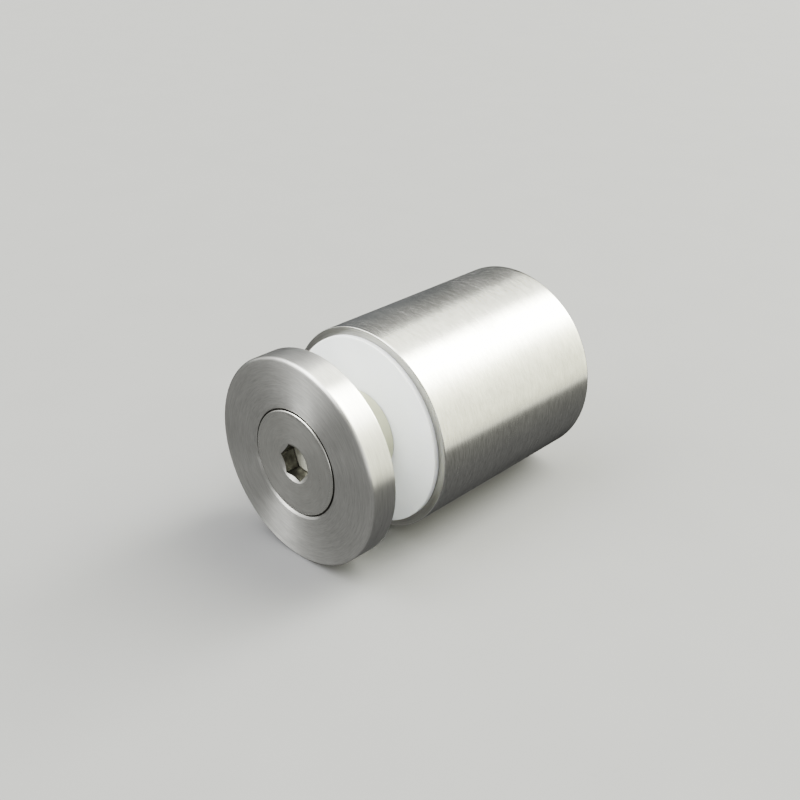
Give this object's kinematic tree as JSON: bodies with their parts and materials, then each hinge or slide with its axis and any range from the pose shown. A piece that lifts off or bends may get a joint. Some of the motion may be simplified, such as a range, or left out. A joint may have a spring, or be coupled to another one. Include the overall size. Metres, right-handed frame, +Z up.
{
  "type": "glass panel standoff",
  "caption": "Round brushed-steel point fixing that holds a drilled glass panel off a wall: tapped barrel, white gaskets, plastic sleeve and a disc cap clamped by a flush socket screw.",
  "frame": {"origin": "centre of the barrel's back face, which sits against the wall", "axes": "+Y into the wall along the standoff's axis, so the cap faces -Y; +Z up; +X to the right of someone who faces the cap"},
  "size_m": [0.038, 0.0582, 0.038],
  "materials": {
    "barrel_steel": "brushed round the circumference, satin",
    "cap_steel": "turned and brushed in circles, satin",
    "screw_steel": "machined, satin",
    "gasket_plastic": "white, smooth, matt",
    "sleeve_plastic": "translucent natural plastic, olive grey"
  },
  "bodies": {
    "fixed": {"barrel": "barrel_steel", "barrel_gasket": "gasket_plastic"},
    "clamp": {"cap": "cap_steel", "cap_gasket": "gasket_plastic", "glass_sleeve": "sleeve_plastic"},
    "screw": {"clamp_screw": "screw_steel"}
  },
  "joints": [
    {"name": "clamp_travel", "type": "slide", "parent": "fixed", "child": "clamp", "axis": [0, -1, 0], "range_m": [0, 0.012]},
    {"name": "screw_turn", "type": "hinge", "parent": "clamp", "child": "screw", "pos_m": [0, -0.0582, 0], "axis": [0, -1, 0], "range_deg": [0, 2880]}
  ],
  "couplings": [
    {"joint": "clamp_travel", "follows": "screw_turn", "m_per_rad": 0.00023873}
  ]
}
